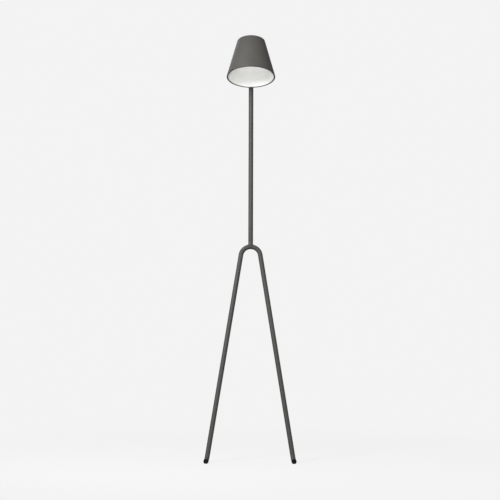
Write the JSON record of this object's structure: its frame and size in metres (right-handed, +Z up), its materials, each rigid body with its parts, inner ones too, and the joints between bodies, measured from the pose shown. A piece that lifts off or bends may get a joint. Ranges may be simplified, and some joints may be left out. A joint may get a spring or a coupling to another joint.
{
  "type": "leaning floor lamp",
  "caption": "Floor lamp of bent steel tube that leans on a wall: forked legs with rubber toes, a straight pole and a small tapered metal shade that swivels and tilts.",
  "frame": {"origin": "on the floor, midway across and midway between the toes' front and the wall", "axes": "+Z up, +Y towards the wall it leans on, +X to the right seen from the front"},
  "size_m": [0.363, 0.4652, 1.6986],
  "materials": {
    "stand_paint": "matte",
    "shade_paint": "matte",
    "liner_paint": "satin",
    "knuckle_paint": "matte",
    "black_rubber": "matte",
    "black_steel": "satin",
    "zinc_steel": "satin",
    "nylon": "matte",
    "brass": "satin",
    "holder_plastic": "satin",
    "lead_sheath": "matte",
    "opal_glass": "gloss",
    "nickel_cap": "polished"
  },
  "bodies": {
    "stand": {"leg_tube": "stand_paint", "left_toe_cap": "black_rubber", "right_toe_cap": "black_rubber", "crown_spigot": "stand_paint", "crown_weld": "stand_paint", "pole_tube": "stand_paint", "pole_lock_screw": "black_steel", "pole_top_plug": "zinc_steel", "stop_pin": "zinc_steel", "swivel_friction_disc": "nylon", "wall_bumper": "black_rubber", "bumper_screw": "black_steel", "cable_gland": "black_rubber", "mains_lead": "lead_sheath"},
    "swivel": {"knuckle_base": "knuckle_paint", "swivel_nipple": "zinc_steel", "swivel_nut": "zinc_steel", "swivel_spring_washer": "zinc_steel", "pivot_bolt": "black_steel", "pivot_nut": "zinc_steel", "pivot_spring_washer": "zinc_steel", "pivot_flat_washer": "zinc_steel", "pivot_friction_disc": "nylon"},
    "shade": {"knuckle_head": "knuckle_paint", "shade_nipple": "zinc_steel", "shade_spacer": "knuckle_paint", "shade_nut": "brass", "shade_shell": "shade_paint", "shade_liner": "liner_paint", "holder_bracket": "zinc_steel", "holder_nut": "brass", "lampholder_cap": "holder_plastic", "lampholder_body": "holder_plastic", "shade_ring": "holder_plastic", "socket_sleeve": "brass", "centre_contact": "brass", "bulb_glass": "opal_glass", "bulb_cap": "nickel_cap", "bulb_contact": "brass", "head_lead": "lead_sheath"}
  },
  "joints": [
    {"name": "shade_swivel", "type": "hinge", "parent": "stand", "child": "swivel", "pos_m": [0, 0.21915, 1.62702], "axis": [0, 0.2419, 0.9703], "range_deg": [-45, 45]},
    {"name": "shade_tilt", "type": "hinge", "parent": "swivel", "child": "shade", "pos_m": [0, 0.21915, 1.62702], "axis": [-1, 0, 0], "range_deg": [-2, 60]}
  ]
}
